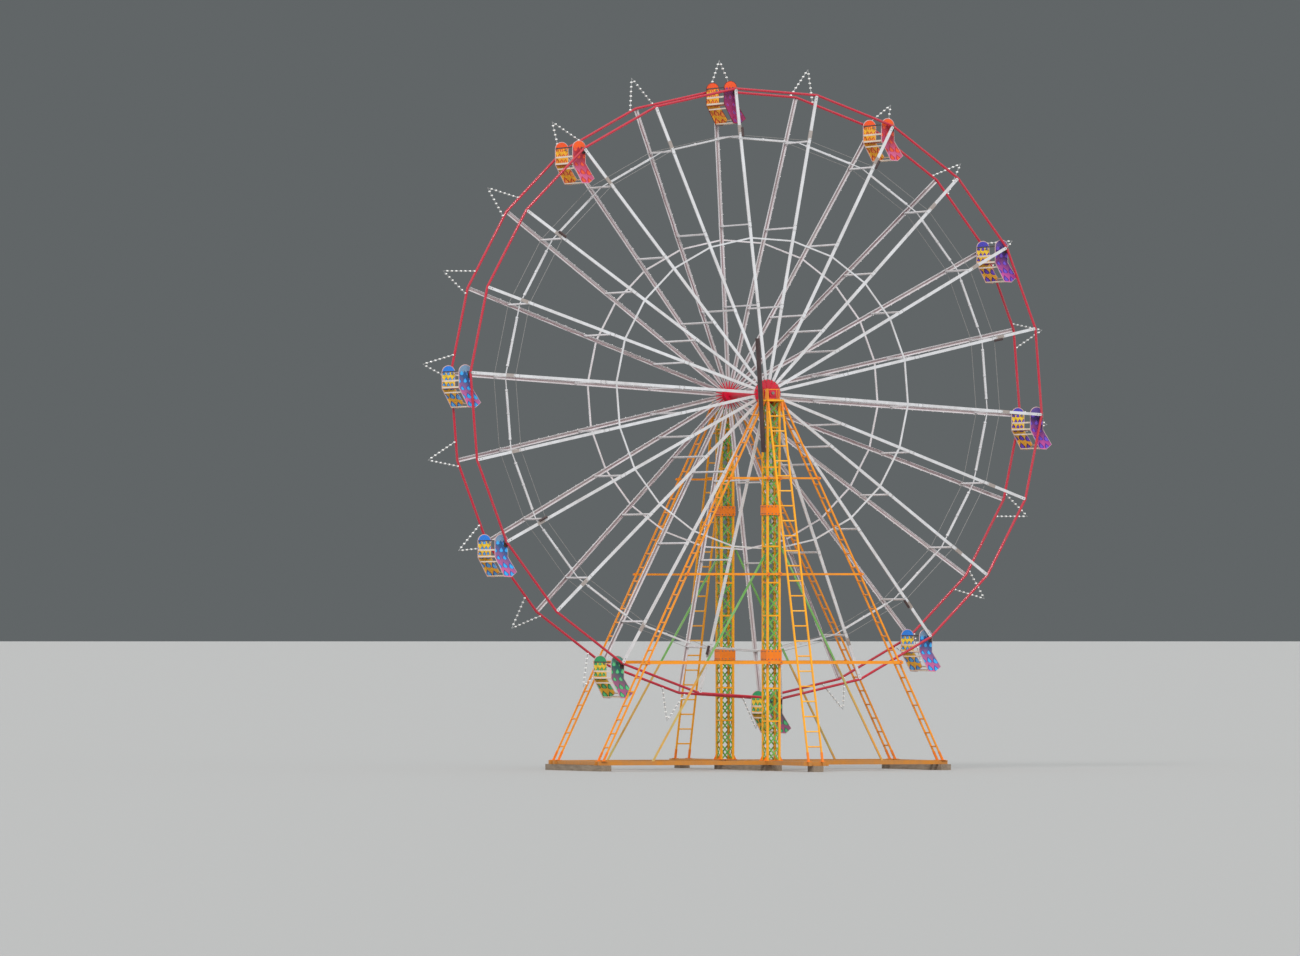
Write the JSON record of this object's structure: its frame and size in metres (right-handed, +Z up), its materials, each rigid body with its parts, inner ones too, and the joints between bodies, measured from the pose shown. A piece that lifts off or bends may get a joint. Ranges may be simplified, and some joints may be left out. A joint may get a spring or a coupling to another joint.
{
  "type": "ferris wheel",
  "caption": "Portable fairground Ferris wheel: a many-sided double rim on an axle between two lattice masts with ladder-like stays, carrying small open hanging cabins.",
  "frame": {"origin": "on the ground, midway between the two masts and under the axle", "axes": "+Z up, the axle along Y with the near side towards -Y, and +X to the right seen from the near side, the way the riders face"},
  "size_m": [20.3952, 12.05, 21.6683],
  "materials": {
    "wheel_red": "crimson gloss paint, weathered, with chips",
    "spoke_white": "white paint, dusty, with rust bleeding through",
    "frame_yellow": "yellow-orange paint, weathered",
    "stay_orange": "orange paint, weathered",
    "brace_green": "light green paint, weathered",
    "bearing_steel": "painted casting, greasy",
    "pole_brown": "dark brown paint, rusty",
    "timber": "grey-brown rough timber",
    "cabin_orange": "orange-red, yellow and magenta paint with drop motifs",
    "cabin_blue": "blue, yellow and magenta paint with drop motifs",
    "cabin_green": "green, yellow and magenta paint with drop motifs",
    "cabin_violet": "violet, yellow and magenta paint with drop motifs",
    "bulb_white": "small opal lamp",
    "wire_dark": "dark red and black cable"
  },
  "bodies": {
    "base": {"near_mast": "frame_yellow", "near_bearing": "bearing_steel", "near_left_leg": "stay_orange", "near_right_leg": "stay_orange", "near_outrigger": "frame_yellow", "near_upper_tie": "stay_orange", "near_middle_tie": "stay_orange", "near_lower_beam": "stay_orange", "near_left_brace": "brace_green", "near_right_brace": "brace_green", "near_sleeper": "timber", "far_mast": "frame_yellow", "far_bearing": "bearing_steel", "far_left_leg": "stay_orange", "far_right_leg": "stay_orange", "far_outrigger": "frame_yellow", "far_upper_tie": "stay_orange", "far_middle_tie": "stay_orange", "far_lower_beam": "stay_orange", "far_left_brace": "brace_green", "far_right_brace": "brace_green", "far_sleeper": "timber", "erecting_pole": "pole_brown", "base_frame": "frame_yellow", "left_sleeper": "timber", "middle_sleeper": "timber", "right_sleeper": "timber"},
    "wheel": {"spoke_bay_01": "spoke_white", "spoke_bay_02": "spoke_white", "spoke_bay_03": "spoke_white", "spoke_bay_04": "spoke_white", "spoke_bay_05": "spoke_white", "spoke_bay_06": "spoke_white", "spoke_bay_07": "spoke_white", "spoke_bay_08": "spoke_white", "spoke_bay_09": "spoke_white", "spoke_bay_10": "spoke_white", "spoke_bay_11": "spoke_white", "near_rim": "wheel_red", "far_rim": "wheel_red", "near_hub": "wheel_red", "far_hub": "wheel_red", "axle": "wheel_red"},
    "cabin_01_body": {"cabin_01": "cabin_orange"},
    "cabin_02_body": {"cabin_02": "cabin_orange"},
    "cabin_03_body": {"cabin_03": "cabin_blue"},
    "cabin_04_body": {"cabin_04": "cabin_blue"},
    "cabin_05_body": {"cabin_05": "cabin_green"},
    "cabin_06_body": {"cabin_06": "cabin_green"},
    "cabin_07_body": {"cabin_07": "cabin_blue"},
    "cabin_08_body": {"cabin_08": "cabin_violet"},
    "cabin_09_body": {"cabin_09": "cabin_violet"},
    "cabin_10_body": {"cabin_10": "cabin_orange"}
  },
  "joints": [
    {"name": "wheel_turn", "type": "hinge", "parent": "base", "child": "wheel", "pos_m": [0, 0, 11.45], "axis": [0, 1, 0], "continuous": true},
    {"name": "cabin_01_swing", "type": "hinge", "parent": "wheel", "child": "cabin_01_body", "pos_m": [-0.7378, 0, 20.7207], "axis": [0, 1, 0], "continuous": true},
    {"name": "cabin_02_swing", "type": "hinge", "parent": "wheel", "child": "cabin_02_body", "pos_m": [-5.6328, 0, 18.8501], "axis": [0, 1, 0], "continuous": true},
    {"name": "cabin_03_swing", "type": "hinge", "parent": "wheel", "child": "cabin_03_body", "pos_m": [-9.2813, 0, 12.0391], "axis": [0, 1, 0], "continuous": true},
    {"name": "cabin_04_swing", "type": "hinge", "parent": "wheel", "child": "cabin_04_body", "pos_m": [-8.1264, 0, 6.9277], "axis": [0, 1, 0], "continuous": true},
    {"name": "cabin_05_swing", "type": "hinge", "parent": "wheel", "child": "cabin_05_body", "pos_m": [-4.3915, 0, 3.2521], "axis": [0, 1, 0], "continuous": true},
    {"name": "cabin_06_swing", "type": "hinge", "parent": "wheel", "child": "cabin_06_body", "pos_m": [0.7378, 0, 2.1793], "axis": [0, 1, 0], "continuous": true},
    {"name": "cabin_07_swing", "type": "hinge", "parent": "wheel", "child": "cabin_07_body", "pos_m": [5.6328, 0, 4.0499], "axis": [0, 1, 0], "continuous": true},
    {"name": "cabin_08_swing", "type": "hinge", "parent": "wheel", "child": "cabin_08_body", "pos_m": [9.2813, 0, 10.8609], "axis": [0, 1, 0], "continuous": true},
    {"name": "cabin_09_swing", "type": "hinge", "parent": "wheel", "child": "cabin_09_body", "pos_m": [8.1264, 0, 15.9723], "axis": [0, 1, 0], "continuous": true},
    {"name": "cabin_10_swing", "type": "hinge", "parent": "wheel", "child": "cabin_10_body", "pos_m": [4.3915, 0, 19.6479], "axis": [0, 1, 0], "continuous": true}
  ],
  "couplings": [
    {"joint": "cabin_01_swing", "follows": "wheel_turn", "ratio": -1},
    {"joint": "cabin_02_swing", "follows": "wheel_turn", "ratio": -1},
    {"joint": "cabin_03_swing", "follows": "wheel_turn", "ratio": -1},
    {"joint": "cabin_04_swing", "follows": "wheel_turn", "ratio": -1},
    {"joint": "cabin_05_swing", "follows": "wheel_turn", "ratio": -1},
    {"joint": "cabin_06_swing", "follows": "wheel_turn", "ratio": -1},
    {"joint": "cabin_07_swing", "follows": "wheel_turn", "ratio": -1},
    {"joint": "cabin_08_swing", "follows": "wheel_turn", "ratio": -1},
    {"joint": "cabin_09_swing", "follows": "wheel_turn", "ratio": -1},
    {"joint": "cabin_10_swing", "follows": "wheel_turn", "ratio": -1}
  ]
}
